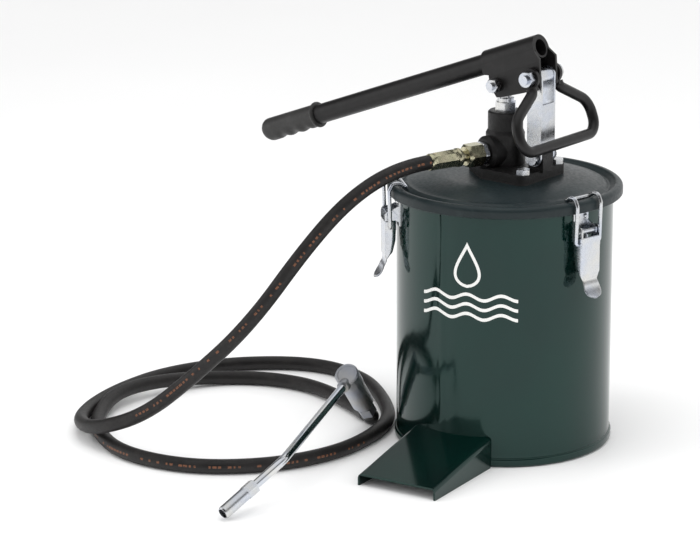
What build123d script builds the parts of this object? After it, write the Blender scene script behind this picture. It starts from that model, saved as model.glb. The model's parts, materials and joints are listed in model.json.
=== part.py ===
from build123d import *
from math import cos, sin, tan, radians
import os

# Gear oil pump: drum, clamped lid, lever pump head, hose and filling nozzle.
# Millimetres. The origin is the centre of the drum's foot, +Z up. +X runs from the drum's axis to the
# lever's fulcrum, so the lever's grip points to -X and the fulcrum bolt lies along Y.

# ---- driving dimensions ----
fit = 0.05              # radial clearance of a running fit
gap = 0.4               # clearance between plates that slide past each other

drum_radius = 111.0
drum_wall = 1.2
drum_height = 269.4     # top of the rolled bead
drum_floor = 9.0        # underside of the drum's floor
curl_width = 6.5        # the bead stands this far out from the wall
curl_height = 5.0
base_bead = 2.0         # the bottom bead stands this far out
base_bead_height = 10.0

lid_radius = drum_radius + 9.5
lid_sheet = 1.5
lid_skirt = 11.5        # depth of the lid's rim
lid_band = 7.0          # width of the flat band on the rim
groove_depth = 4.5
groove_width = 4.5
dome_height = 7.0       # flat top of the dome above the rim
dome_flat = 63.0        # radius of the flat top
gasket_thick = 2.1

flange_thick = 9.0
flange_gasket_thick = 1.5
flange_front = 49.5     # reach of the flange along +X
flange_half = 40.0
flange_bolt_d = 8.0
flange_bolt_front = 43.0
flange_bolt_front_y = 30.0
flange_bolt_back = -30.0

body_radius = 20.0
neck_radius = 18.0
body_height = 32.0      # wide part of the casting above the flange
neck_height = 55.0      # top of the neck above the flange
chamber_radius = 11.0   # oil chamber round the rod
boss_radius = 17.0
boss_reach = 27.0       # outlet face from the pump's axis
outlet_height = 13.9    # outlet axis above the flange
outlet_angle = 253.0

rod_d = 12.0
gland_across = 20.0
gland_height = 13.0
gland_thread_d = 18.0

pivot_x = 43.5          # fulcrum and lower pin, from the pump's axis
lower_pin_height = 13.0  # above the flange
link_length = 83.0      # lower pin to fulcrum
link_width = 25.0
link_depth = 17.0
link_sheet = 2.5
lug_width = 17.2
lug_depth = 18.0
lower_pin_d = 8.0
fulcrum_d = 10.0

lever_slope = 20.5      # handle end below the horizontal at rest, degrees
tube_offset = 27.2      # lever tube above the fulcrum
tube_d = 21.0
tube_wall = 2.0
tube_front = 8.6        # open end ahead of the fulcrum
tube_length = 375.0
sleeve_length = 67.6
sleeve_wall = 3.0
plunger_arm = 45.2      # fulcrum to plunger pin
plunger_drop = 16.0     # angle of that arm below the horizontal at rest
plunger_pin_d = 8.0
slot_travel = 3.6       # half the play of the eye's slot

grip_length = 80.0
grip_d = 24.0
grip_collar_d = 28.0

bail_bar_d = 11.0
bail_half = 65.5
bail_drop = 70.5
bail_lean = 20.5
bail_eye = 4.0
bail_gap = 2.0

barrel_bore = 30.0
barrel_wall = 2.0
barrel_length = 236.0
piston_height = 20.0
piston_depth = 110.0    # piston's top below the flange at rest
ball_d = 14.0
ball_lift = 3.0

latch_angles = [-12.5, -132.5, 107.5]
latch_pin_radius = drum_radius + 10
latch_pin_z = drum_height - 26.4
latch_pin_d = 5.0
latch_drop = 12.0       # wire pivot below the pin
latch_wire_d = 4.0
latch_wire_half = 16.0
latch_half = 12.5
latch_sheet = 1.5
latch_length = 46.0
latch_tab = 20.0
hook_rise = 4.5         # top of the hook's bend above the lid's rim

foot_angle = -84.0
foot_reach = drum_radius + 105.4
foot_half = 44.5
foot_sheet = 2.0
foot_end_height = 12.5
foot_drum_height = 32.0

hose_d = 15.0
nut_across = 22.0
nut_length = 18.7
ferrule_d = 18.0
ferrule_length = 34.0

nozzle_azimuth = -74.5  # where the nozzle's body points, in plan
nozzle_rise = 45.0      # and above the horizontal
nozzle_body_d = 23.5
nozzle_head_d = 25.0
nozzle_body_end = 72.0  # body's face from the elbow's centre
nozzle_length = 95.0
nozzle_spigot_d = 12.0
spout_d = 9.0
spout_wall = 1.5
spout_bend = 32.0
coupler_d = 13.3
coupler_length = 45.0
coupler_sleeve = 32.0   # round part of it, at the open end
coupler_hex = 13.0
coupler_bore = 10.0
coupler_pocket = 9.4    # behind the bore, round the jaws

# The hose's route after the ferrule: it falls to the floor, turns round one large loop and a half and comes
# back to the nozzle's elbow. Points of the line that its arcs are tangent to.
hose_route = [
    (-60, -176, 282), (-84, -216, 238), (-127, -258, 156), (-190, -274, 93), (-240, -292, 48), (-298, -301, 24),
    (-351, -274, 13), (-387, -219, 7.7), (-402, -156, 7.7), (-401, -80, 7.7), (-364, -4, 7.7), (-290, 50, 7.7),
    (-214, 40, 7.7), (-155, -3, 7.7), (-105.5, -54.5, 7.7), (-86, -116, 7.7), (-86, -180, 7.7), (-116, -247, 7.7),
    (-177, -298, 7.7), (-259, -308, 7.7), (-328, -271, 7.7), (-365, -226, 8.5), (-382, -180, 15.5),
    (-375, -125, 15), (-350, -60, 7.7), (-290, -20, 7.7), (-214, -20, 8.8), (-148.5, -52, 8.8),
]
elbow_reach = 26.0      # hose end to the elbow's centre
spout_knee = (-52.8, -298.8, 41.5)
spout_tip = (-64, -377, 7.2)

# ---- places worked out from them ----
# Round a wider drum the hose and nozzle lie further out, and under a higher outlet the hose falls further.
drum_growth = drum_radius - 111.0
hose_fall = (drum_height - 269.4) / 269.4


def laid(point):
    x, y, z = point
    return (x - 0.9 * drum_growth, y - 0.5 * drum_growth, z + (z * hose_fall if z > 20 else 0))


hose_route = [laid(p) for p in hose_route]
spout_knee = (spout_knee[0] - 0.9 * drum_growth, spout_knee[1] - 0.5 * drum_growth, spout_knee[2])
spout_tip = (spout_tip[0] - 0.9 * drum_growth, spout_tip[1] - 0.5 * drum_growth, spout_tip[2])
rim_z = drum_height + gasket_thick + lid_sheet
groove_out = lid_radius - lid_sheet - lid_band
groove_in = groove_out - groove_depth - groove_width
lid_top = rim_z + dome_height
flange_z = lid_top + flange_gasket_thick
deck_z = flange_z + flange_thick
neck_top = deck_z + neck_height
outlet_z = deck_z + outlet_height
lower_pin = Vector(pivot_x, 0, deck_z + lower_pin_height)
fulcrum = Vector(pivot_x, 0, lower_pin.Z + link_length)
plunger_x = fulcrum.X - plunger_arm * cos(radians(plunger_drop))
plunger_pin_z = fulcrum.Z - plunger_arm * sin(radians(plunger_drop))
link_half = link_width / 2
cheek_in = link_half + gap
cheek_out = cheek_in + sleeve_wall
eye_in = cheek_out + bail_gap
eye_out = eye_in + bail_eye
arm_u = -plunger_arm * cos(radians(lever_slope - plunger_drop))
arm_w = plunger_arm * sin(radians(lever_slope - plunger_drop))
ferrule_start = boss_reach + 6.3 + nut_length + 6.5
hose_start = ferrule_start + 5 + ferrule_length
out_dir = Vector(cos(radians(outlet_angle)), sin(radians(outlet_angle)), 0)
hose_mouth = Vector(0, 0, outlet_z) + out_dir * hose_start
hose_lead = hose_mouth + out_dir * 35
last, end = Vector(*hose_route[-2]), Vector(*hose_route[-1])
hose_end_dir = (end - last).normalized()
elbow = end + hose_end_dir * elbow_reach
nozzle_dir = Vector(
    cos(radians(nozzle_rise)) * cos(radians(nozzle_azimuth)),
    cos(radians(nozzle_rise)) * sin(radians(nozzle_azimuth)),
    sin(radians(nozzle_rise)),
)
spout_root = elbow + nozzle_dir * (nozzle_length - 12)
knee = Vector(*spout_knee)
spout_dir = (knee - spout_root).normalized()
tip_dir = (Vector(*spout_tip) - knee).normalized()
coupler_start = Vector(*spout_tip) - tip_dir * coupler_length


# ---- shape helpers ----
def spun(points):
    """Solid of revolution about Z from (radius, height) points."""
    return revolve(make_face(Plane.XZ * Polyline(*points, close=True)), Axis.Z)


def rod(radius, low, high):
    return Pos(0, 0, low) * Cylinder(radius, high - low, align=(Align.CENTER, Align.CENTER, Align.MIN))


def ring(outer, inner, low, high):
    return rod(outer, low, high) - rod(inner, low - 1, high + 1)


def hexagon(across, low, high):
    return Pos(0, 0, low) * extrude(RegularPolygon(across / 2, 6, major_radius=False), amount=high - low)


def block(x0, x1, y0, y1, z0, z1):
    return Pos((x0 + x1) / 2, (y0 + y1) / 2, (z0 + z1) / 2) * Box(x1 - x0, y1 - y0, z1 - z0)


def along_y(shape, place):
    """Turns a shape built along Z so that it runs along +Y through the place."""
    return Pos(place.X, place.Y, place.Z) * Rot(-90, 0, 0) * shape


def side_plate(points, y0, y1):
    """Plate cut to an outline of (x, z) points, from y0 to y1."""
    face = make_face(Plane.XZ * Polyline(*points, close=True))
    return Pos(0, y1, 0) * extrude(face, amount=y1 - y0, dir=(0, -1, 0))


def bar(points, radius, bends):
    path = FilletPolyline(*points, radius=bends)
    return sweep((path ^ 0) * Circle(radius), path)


def keep(name, shape):
    solids = shape.solids()
    if len(solids) == 1:
        shape = solids[0]
    else:
        shape = Compound(children=list(solids))
    export_step(shape, f"parts/{name}.step")
    print(name, len(solids), round(shape.volume))


# ---- drum ----
def drum_body():
    inner = drum_radius - drum_wall
    wall_top = drum_height - curl_height
    return spun([
        (0, drum_floor), (drum_radius, drum_floor), (drum_radius, wall_top),
        (drum_radius + curl_width - 1, wall_top), (drum_radius + curl_width, wall_top + 1),
        (drum_radius + curl_width, drum_height - 1), (drum_radius + curl_width - 1, drum_height),
        (inner + 1, drum_height), (inner, drum_height - 1), (inner, drum_floor + drum_wall),
        (0, drum_floor + drum_wall),
    ])


def drum_base_ring():
    outer = drum_radius + base_bead
    inner = drum_radius - 4
    return spun([
        (inner, 0), (outer - 1, 0), (outer, 1), (outer, base_bead_height - 1), (outer - 1, base_bead_height),
        (drum_radius, base_bead_height), (drum_radius, drum_floor), (inner, drum_floor),
    ])


def foot_plate():
    near = drum_radius + base_bead
    outline = [(-foot_reach, 0), (-foot_reach, foot_end_height), (-drum_radius + 6, foot_drum_height), (-drum_radius + 6, 0)]
    inset = foot_sheet
    channel = Rot(0, 0, -90) * side_plate([(-x, z) for x, z in outline], -foot_half, foot_half)
    top = channel.edges().filter_by(Axis.Z, reverse=True).filter_by(Axis.X, reverse=True).sort_by(Axis.Z)[-2:]
    channel = fillet(top, 5)
    hollow = [
        (-foot_reach - 5, -5), (-foot_reach - 5, foot_end_height - inset - 0.9),
        (-drum_radius + 11, foot_drum_height - inset + 0.9), (-drum_radius + 11, -5),
    ]
    core = Rot(0, 0, -90) * side_plate([(-x, z) for x, z in hollow], -foot_half + inset, foot_half - inset)
    channel = channel - core - rod(near, -1, base_bead_height) - rod(drum_radius, -1, foot_drum_height + 9)
    return Rot(0, 0, foot_angle + 90) * channel


# ---- lid ----
def lid():
    t = lid_sheet
    low = rim_z - groove_depth
    foot = groove_out - groove_depth
    return spun([
        (lid_radius, rim_z - lid_skirt), (lid_radius, rim_z - 2), (lid_radius - 2, rim_z), (groove_out, rim_z),
        (foot, low), (groove_in, low), (groove_in - 4, low + 2), (dome_flat, lid_top), (barrel_bore / 2 + 4, lid_top),
        (barrel_bore / 2 + 4, lid_top - t), (dome_flat, lid_top - t), (groove_in - 4, low + 2 - t),
        (groove_in, low - t), (foot + 0.6, low - t), (groove_out + 0.6, rim_z - t), (lid_radius - 2.5, rim_z - t),
        (lid_radius - t, rim_z - 2.5), (lid_radius - t, rim_z - lid_skirt),
    ]) - flange_holes()


def lid_gasket():
    return ring(drum_radius + curl_width, groove_out + 1.2, drum_height, drum_height + gasket_thick)


def flange_outline(low, high):
    corners = [(flange_front, -flange_half), (flange_front, flange_half), (-5, 36), (-39, 10), (-39, -10), (-5, -36)]
    plate = extrude(make_face(Polyline(*corners, close=True)), amount=high - low, dir=(0, 0, 1))
    return Pos(0, 0, low) * fillet(plate.edges().filter_by(Axis.Z), 8)


def flange_bolt_places():
    return [(flange_bolt_front, -flange_bolt_front_y), (flange_bolt_front, flange_bolt_front_y), (flange_bolt_back, 0)]


def flange_holes():
    holes = [Pos(x, y, 0) * rod(flange_bolt_d / 2 + 0.3, lid_top - 20, deck_z + 5) for x, y in flange_bolt_places()]
    return Part() + holes


def flange_gasket():
    return flange_outline(lid_top, flange_z) - rod(barrel_bore / 2 + 4, lid_top - 1, flange_z + 1) - flange_holes()


def flange_bolts():
    bolts = []
    for x, y in flange_bolt_places():
        head = hexagon(13, deck_z, deck_z + 5.3) & spun([(0, deck_z), (8, deck_z), (8, deck_z + 4.3), (6.4, deck_z + 5.3), (0, deck_z + 5.3)])
        bolts.append(Pos(x, y, 0) * (head + rod(flange_bolt_d / 2, lid_top - 12, deck_z)))
    return Part() + bolts


def flange_nuts():
    top = lid_top - lid_sheet
    nut = hexagon(13, top - 6.5, top) - rod(flange_bolt_d / 2 + fit, top - 8, top + 1)
    return Part() + [Pos(x, y, 0) * nut for x, y in flange_bolt_places()]


# ---- pump head ----
def pump_body():
    casting = flange_outline(flange_z, deck_z)
    casting += spun([
        (0, flange_z), (body_radius, flange_z), (body_radius, deck_z + body_height), (neck_radius, deck_z + body_height + 4),
        (neck_radius, neck_top - 1.5), (neck_radius - 1.5, neck_top), (0, neck_top),
    ])
    boss = Plane(origin=(0, 0, outlet_z), z_dir=out_dir) * spun([
        (0, 0), (boss_radius, 0), (boss_radius, boss_reach - 3), (boss_radius - 3, boss_reach), (0, boss_reach)])
    casting += boss & block(-200, 200, -200, 200, deck_z - 5, neck_top)
    x0 = pivot_x - lug_depth / 2
    x1 = pivot_x + lug_depth / 2
    lug = block(x0, x1, -lug_width / 2, lug_width / 2, deck_z - 2, lower_pin.Z)
    lug += along_y(rod(lug_depth / 2, -lug_width / 2, lug_width / 2), lower_pin)
    casting += lug
    casting -= along_y(rod(lower_pin_d / 2 + fit, -30, 30), lower_pin)
    casting -= rod(chamber_radius, flange_z - 1, neck_top - 15)
    casting -= rod(gland_thread_d / 2, neck_top - 15.01, neck_top + 1)
    casting -= Plane(origin=(0, 0, outlet_z), z_dir=out_dir) * rod(6.5, 5, boss_reach + 1)
    return casting - flange_holes()


def gland_nut():
    low = neck_top - 9
    nut = rod(gland_thread_d / 2, low, neck_top)
    nut += hexagon(gland_across, neck_top, neck_top + gland_height - 4)
    nut += rod(8.5, neck_top + gland_height - 4, neck_top + gland_height)
    return nut - rod(rod_d / 2 + fit, low - 1, neck_top + gland_height + 1)


def gland_packing():
    return ring(gland_thread_d / 2, rod_d / 2 + fit, neck_top - 15, neck_top - 9)


def pump_barrel():
    top = flange_z
    low = top - barrel_length
    r = barrel_bore / 2
    tube = ring(r + barrel_wall, r, low, top)
    return tube + ring(r + 3.7, r, top - 3, top)


def foot_valve():
    low = flange_z - barrel_length
    r = barrel_bore / 2
    return spun([
        (5, low - 14), (r + 3, low - 14), (r + 3, low), (r, low), (r, low + 10), (6.2, low + 10), (6.2, low + 8.5),
        (8.2, low + 8.5), (8.2, low - 3), (5, low - 8)])


def suction_ball():
    low = flange_z - barrel_length
    return Pos(0, 0, low - 2.6) * Sphere(ball_d / 2)


def strainer():
    low = flange_z - barrel_length - 14
    r = barrel_bore / 2 + 3
    cup = ring(r, r - 1.2, low - 14, low) + rod(r, low - 15.2, low - 14)
    for i in range(8):
        cup -= Rot(0, 0, 45 * i) * block(r - 3, r + 3, -3.5, 3.5, low - 11, low - 3)
    return cup


def plunger_rod():
    bottom = deck_z - piston_depth
    r = rod_d / 2
    half = plunger_pin_d / 2 + slot_travel + 4
    shaft = rod(r, bottom, plunger_pin_z - 8)
    eye = block(-half, half, -6, 6, plunger_pin_z - 9, plunger_pin_z + 8)
    eye = fillet(eye.edges().filter_by(Axis.Y), 4)
    slot_half = plunger_pin_d / 2 + 0.3
    slot = block(-slot_travel, slot_travel, -9, 9, plunger_pin_z - slot_half, plunger_pin_z + slot_half)
    for x in (-slot_travel, slot_travel):
        slot += along_y(rod(slot_half, -9, 9), Vector(x, 0, plunger_pin_z))
    return shaft + eye - slot


def piston():
    top = deck_z - piston_depth
    low = top - piston_height
    r = barrel_bore / 2 - 0.5
    shape = spun([(0, top), (9, top), (r, top - 2), (r, low), (9.2, low), (9.2, low + 1), (ball_d / 2 + 0.6, low + 1),
                  (ball_d / 2 + 0.6, top - 4), (0, top - 4)])
    for i in range(3):
        shape -= Rot(0, 0, 120 * i) * block(5, 30, -2, 2, top - 7, top + 1)
    return shape - ring(r + 1, r - 2, low + 5, low + 8)


def piston_ring():
    low = deck_z - piston_depth - piston_height
    r = barrel_bore / 2
    return ring(r - fit, r - 2.5 + fit, low + 5 + fit, low + 8 - fit)


def piston_ball_z():
    return deck_z - piston_depth - piston_height + 1


def piston_seat():
    low = piston_ball_z() - 3
    return spun([(5, low), (9.2, low), (9.2, low + 3), (6.4, low + 3), (5, low + 1.2)])


def piston_ball():
    return Pos(0, 0, piston_ball_z() + 3.0) * Sphere(ball_d / 2 - 0.5)


# ---- outlet ----
def on_outlet(shape):
    return Plane(origin=(0, 0, outlet_z), z_dir=out_dir) * shape


def outlet_washer():
    return on_outlet(ring(10, 6.5, boss_reach, boss_reach + 1.3))


def outlet_adapter():
    face = boss_reach + 1.3
    shape = rod(6.5, boss_reach - 11, face) + (hexagon(nut_across, face, face + 5) & spun([
        (0, face), (12, face), (12.5, face + 1), (12.5, face + 4), (12, face + 5), (0, face + 5)]))
    shape += rod(6.6, face + 5, face + 14.5)
    return on_outlet(shape - rod(3, boss_reach - 12, face + 15))


def swivel_nut():
    low = boss_reach + 6.5
    high = boss_reach + 6.3 + nut_length
    shape = hexagon(nut_across, low, high) & spun([
        (0, low), (12.2, low), (12.7, low + 1), (12.7, high - 3.5), (9.5, high), (0, high)])
    return on_outlet(shape - rod(6.6 + fit, low - 1, low + 13) - rod(5.5 + fit, low, high + 1))


def hose_stem():
    low = boss_reach + 16.2
    return on_outlet(ring(6.3, 3, low, low + 3) + ring(5.5, 3, low + 3, ferrule_start) + ring(4, 3, ferrule_start, hose_start))


def hose_ferrule():
    r = ferrule_d / 2
    a = ferrule_start
    b = hose_start
    shape = spun([
        (4, a), (r - 0.6, a), (r + 0.6, a + 1), (r + 0.6, a + 4), (r - 0.4, a + 5), (r, a + 6.5), (r - 0.3, b - 4),
        (r - 0.6, b - 0.5), (r - 1.2, b), (4, b)])
    return on_outlet(shape)


# ---- hose and nozzle ----
def hose():
    points = [hose_mouth, hose_lead] + [Vector(*p) for p in hose_route]
    radii = []
    for i in range(1, len(points) - 1):
        a = points[i] - points[i - 1]
        b = points[i + 1] - points[i]
        turn = a.get_angle(b)
        radii.append(0.45 * min(a.length, b.length) / tan(radians(turn / 2)))
        print("hose", i, "run", round(a.length), "turn", round(turn), "radius", round(radii[-1]))
    path = FilletPolyline(*points, radius=radii)
    print("hose length", round(path.length), "section x length", round(path.length * 3.14159 * hose_d ** 2 / 4))
    return sweep((path ^ 0) * Circle(hose_d / 2), path)


def end_ferrule():
    return Plane(origin=end, z_dir=(elbow - end)) * spun([
        (0, 0), (7.8, 0), (8.4, 0.8), (8.4, 15), (7.6, 16), (7.6, elbow_reach - 9), (0, elbow_reach - 9)])


def on_nozzle(shape):
    return Plane(origin=elbow, z_dir=nozzle_dir) * shape


def end_elbow():
    run = Plane(origin=end, z_dir=(elbow - end)) * rod(7.6, elbow_reach - 9, elbow_reach)
    return run + Pos(elbow.X, elbow.Y, elbow.Z) * Sphere(8.6) + on_nozzle(rod(7.4, 0, 12))


def nozzle_body():
    r = nozzle_body_d / 2
    b = nozzle_body_end
    shape = hexagon(17, 12, 26) + spun([(0, 26), (8.6, 26), (9.4, 27.5), (r, 33), (r, b), (0, b)])
    return on_nozzle(shape + rod(nozzle_spigot_d / 2, b, b + 12))


def nozzle_head():
    r = nozzle_head_d / 2
    low = nozzle_body_end + 0.3
    high = nozzle_length
    head = spun([
        (0, low), (r - 0.8, low), (r, low + 0.8), (r, high - 1.4), (r - 1.4, high), (r - 3, high), (r - 3.4, high - 0.6),
        (0, high - 0.6)])
    head -= rod(nozzle_spigot_d / 2 + fit, low - 1, nozzle_body_end + 12.3)
    head -= rod(8.4, low - 1, low + 2.7)
    head = on_nozzle(head)
    socket = Plane(origin=spout_root, z_dir=spout_dir) * rod(6.4, 3.5, 20)
    bore = Plane(origin=spout_root, z_dir=spout_dir) * rod(spout_d / 2, 8, 40)
    clear = on_nozzle(rod(nozzle_spigot_d / 2 + fit, low - 1, nozzle_body_end + 12.3))
    return head + socket - bore - clear


def nozzle_seal():
    low = nozzle_body_end + 0.3
    return on_nozzle(ring(8.3, nozzle_spigot_d / 2 + fit, low + 0.2, low + 2.4))


def nozzle_tube():
    path = FilletPolyline(spout_root + spout_dir * 8, knee, coupler_start, radius=spout_bend)
    outer = sweep((path ^ 0) * Circle(spout_d / 2), path)
    return outer - sweep((path ^ 0) * Circle(spout_d / 2 - spout_wall), path)


def on_coupler(shape):
    return Plane(origin=coupler_start, z_dir=tip_dir) * shape


def coupler_body():
    r = coupler_d / 2
    low = coupler_length - coupler_sleeve
    high = coupler_length
    shape = hexagon(coupler_hex, 0, low) + spun([(0, low), (r, low), (r, high - 1.5), (r - 1, high), (0, high)])
    hollow = rod(coupler_bore / 2, high - 12, high + 1) + rod(coupler_pocket / 2, high - 22, high - 11)
    return on_coupler(shape - hollow - rod(2, -1, high))


def coupler_jaws():
    high = coupler_length
    jaws = ring(coupler_pocket / 2 - 0.1, 3.2, high - 21, high - 13)
    for i in range(2):
        jaws -= Rot(0, 0, 90 * i) * block(-6, 6, -0.6, 0.6, high - 18, high - 10)
    return on_coupler(jaws)


# ---- lever gear ----
def link():
    x0 = pivot_x - link_depth / 2
    x1 = pivot_x + link_depth / 2
    r = link_depth / 2
    shape = Part()
    for s in (-1, 1):
        y0, y1 = sorted((s * link_half, s * (link_half - link_sheet)))
        cheek = block(x0, x1, y0, y1, lower_pin.Z, fulcrum.Z)
        cheek += along_y(rod(r, y0, y1), lower_pin) + along_y(rod(r, y0, y1), fulcrum)
        shape += cheek
    shape += block(x1 - link_sheet, x1, -link_half, link_half, lower_pin.Z + 12.5, fulcrum.Z - 28)
    shape -= along_y(rod(lower_pin_d / 2 + fit, -30, 30), lower_pin)
    return shape - along_y(rod(fulcrum_d / 2 + fit, -30, 30), fulcrum)


def cross_bolt(d, across, head, grip_half, tail):
    """Bolt along Y: head on the -Y side, shank through to the nut's far face."""
    low = -grip_half - head
    shape = hexagon(across, low, -grip_half) & spun([
        (0, low), (across * 0.5, low), (across * 0.59, low + 1.2), (across * 0.59, -grip_half), (0, -grip_half)])
    return shape + rod(d / 2, -grip_half, grip_half + tail)


def cross_nut(d, across, thick, grip_half):
    shape = hexagon(across, grip_half, grip_half + thick) & spun([
        (0, grip_half), (across * 0.59, grip_half), (across * 0.59, grip_half + thick - 1.2),
        (across * 0.5, grip_half + thick), (0, grip_half + thick)])
    return shape - rod(d / 2, grip_half - 1, grip_half + thick + 1)


def lever_frame(shape):
    return Pos(fulcrum.X, fulcrum.Y, fulcrum.Z) * Rot(0, -lever_slope, 0) * shape


def lever_bracket():
    r_in = tube_d / 2
    r_out = r_in + sleeve_wall
    bottom = -14
    knee = tube_offset - 13
    section = make_face(Plane.YZ * Polyline(
        (-r_out, tube_offset), (-cheek_out, knee), (-cheek_out, bottom), (cheek_out, bottom), (cheek_out, knee),
        (r_out, tube_offset), close=True))
    section += Plane.YZ * Pos(0, tube_offset) * Circle(r_out)
    hollow = make_face(Plane.YZ * Polyline(
        (-r_in, tube_offset), (-cheek_in, knee), (-cheek_in, bottom - 1), (cheek_in, bottom - 1), (cheek_in, knee),
        (r_in, tube_offset), close=True))
    hollow += Plane.YZ * Pos(0, tube_offset) * Circle(r_in)
    rear = tube_front - sleeve_length
    folded = Pos(rear, 0, 0) * extrude(section - hollow, amount=sleeve_length + 8, dir=(1, 0, 0))
    top = tube_offset + r_out + 1
    outline = [
        (rear, top), (tube_front, top), (tube_front, tube_offset - 2), (tube_front + 5, 16), (5.5, -11.5), (-14, -12),
        (arm_u + 3, arm_w - 13.5), (arm_u - 5, arm_w - 12), (arm_u - 8.5, arm_w), (arm_u - 7, knee + 1),
        (rear, knee + 3),
    ]
    shape = folded & side_plate(outline, -cheek_out - 1, cheek_out + 1)
    pin = Vector(arm_u, 0, arm_w)
    for s in (-1, 1):
        y0, y1 = sorted((s * (cheek_out - 0.5), s * (cheek_out + 3.5)))
        shape += along_y(rod(7, y0, y1), pin)
    shape -= along_y(rod(plunger_pin_d / 2 + fit, -40, 40), pin)
    shape -= along_y(rod(fulcrum_d / 2 + fit, -40, 40), Vector(0, 0, 0))
    return lever_frame(shape)


def lever_tube():
    shape = Rot(0, -90, 0) * ring(tube_d / 2, tube_d / 2 - tube_wall, 0, tube_length)
    return lever_frame(Pos(tube_front, 0, tube_offset) * shape)


def lever_grip():
    r = grip_d / 2
    bore = tube_d / 2
    a = tube_length - grip_length + 8
    b = tube_length
    shape = spun([
        (bore, a), (grip_collar_d / 2, a), (grip_collar_d / 2, a + 4), (r, a + 7), (r - 0.5, b), (r - 3, b + 6),
        (r - 7, b + 8), (0, b + 8), (0, b), (bore, b)])
    return lever_frame(Pos(tube_front, 0, tube_offset) * Rot(0, -90, 0) * shape)


def carry_bail():
    y = eye_in + bail_bar_d / 2
    shoulder = 38
    right = [(0, y, -9.6), (0, y, -15), (0, bail_half, -shoulder), (0, bail_half, -bail_drop)]
    left = [(x, -py, z) for x, py, z in reversed(right)]
    shape = bar(right + left, bail_bar_d / 2, [7, 21, 16, 16, 21, 7])
    half = bail_bar_d / 2 - 0.4
    for s in (-1, 1):
        y0, y1 = sorted((s * eye_in, s * eye_out))
        shape += along_y(rod(10.5, y0, y1), Vector(0, 0, 0))
        shape += block(-half, half, y0, y1, -13.5, 0)
    shape -= along_y(rod(fulcrum_d / 2 + fit, -60, 60), Vector(0, 0, 0))
    return Pos(fulcrum.X, 0, fulcrum.Z) * Rot(0, -bail_lean, 0) * shape


# ---- latches, built on the +X side and turned into place ----
def latch_base():
    r = drum_radius
    z = latch_pin_z
    ear = 8.5
    plate = ring(r + 1.6, r, z - 12, z + 17) & block(r - 8, r + 5, -10, 10, z - 12, z + 17)
    shape = plate
    for s in (-1, 1):
        y0, y1 = sorted((s * ear, s * (ear + 1.5)))
        outline = [(r - 0.5, z - 8), (latch_pin_radius - 2, z - 4.5), (latch_pin_radius + 3.5, z - 2.5),
                   (latch_pin_radius + 3.5, z + 3), (latch_pin_radius, z + 4.5), (r - 0.5, z + 10)]
        shape += side_plate(outline, y0, y1) - rod(r + 0.5, z - 20, z + 20)
    return shape - along_y(rod(latch_pin_d / 2, -20, 20), Vector(latch_pin_radius, 0, z))


def latch_pin():
    y = latch_half + 1.1
    pin = rod(latch_pin_d / 2, -y, y) + rod(3.6, y - 1, y)
    return along_y(pin, Vector(latch_pin_radius, 0, latch_pin_z))


def latch_lever():
    x = latch_pin_radius + 7
    z = latch_pin_z
    t = latch_sheet
    low = z - latch_length
    shape = block(x - t, x, -latch_half, latch_half, low, z - 5)
    for s in (-1, 1):
        y0, y1 = sorted((s * latch_half, s * (latch_half - t)))
        outline = [(x - t, low), (x, low), (x, z + 2), (x - 5, z + 4.5), (x - 10, z + 3), (x - 12.5, z - 3), (x - 12.5, z - 20),
                   (x - 8, low + 10)]
        shape += side_plate(outline, y0, y1)
    tab = [(x - t, low + 1), (x, low + 1), (x + 1.2, low - 7), (x + 5.5, low - latch_tab + 3), (x + 8, low - latch_tab),
           (x + 6.8, low - latch_tab - 0.8), (x + 4, low - latch_tab + 2), (x - 0.2, low - 7)]
    shape += side_plate(tab, -latch_half + 3, latch_half - 3)
    pin = Vector(latch_pin_radius, 0, z)
    wire = Vector(latch_pin_radius + 1, 0, z - latch_drop)
    shape -= along_y(rod(latch_pin_d / 2 + fit, -20, 20), pin)
    return shape - along_y(rod(latch_wire_d / 2 + fit, -20, 20), wire)


def latch_loop():
    r = latch_wire_d / 2
    x = latch_pin_radius + 1
    low = latch_pin_z - latch_drop
    y = latch_wire_half
    leg_x = lid_radius + r + 0.8
    top = rim_z + hook_rise
    dip = rim_z + 0.1
    side = [(x, y - 7, low), (x, y, low), (leg_x, y, rim_z - 3), (leg_x - 4, y, top), (groove_out + 1, y, top),
            (groove_out - 6.2, y, dip)]
    mirror = [(px, -py, pz) for px, py, pz in reversed(side)]
    return bar(side + mirror, r, [2.6, 6, 4, 5, 2.6, 2.6, 5, 4, 6, 2.6])


def latch_rivets():
    rivets = []
    for angle in latch_angles:
        for y in (-5.5, 5.5):
            head = spun([(0, 0), (2.4, 0), (2.1, 1), (1.2, 1.6), (0, 1.8)])
            place = Plane(origin=(drum_radius + 1.55, y, latch_pin_z + 13), z_dir=(1, 0, 0))
            rivets.append(Rot(0, 0, angle) * (place * head))
    return Part() + rivets


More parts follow.
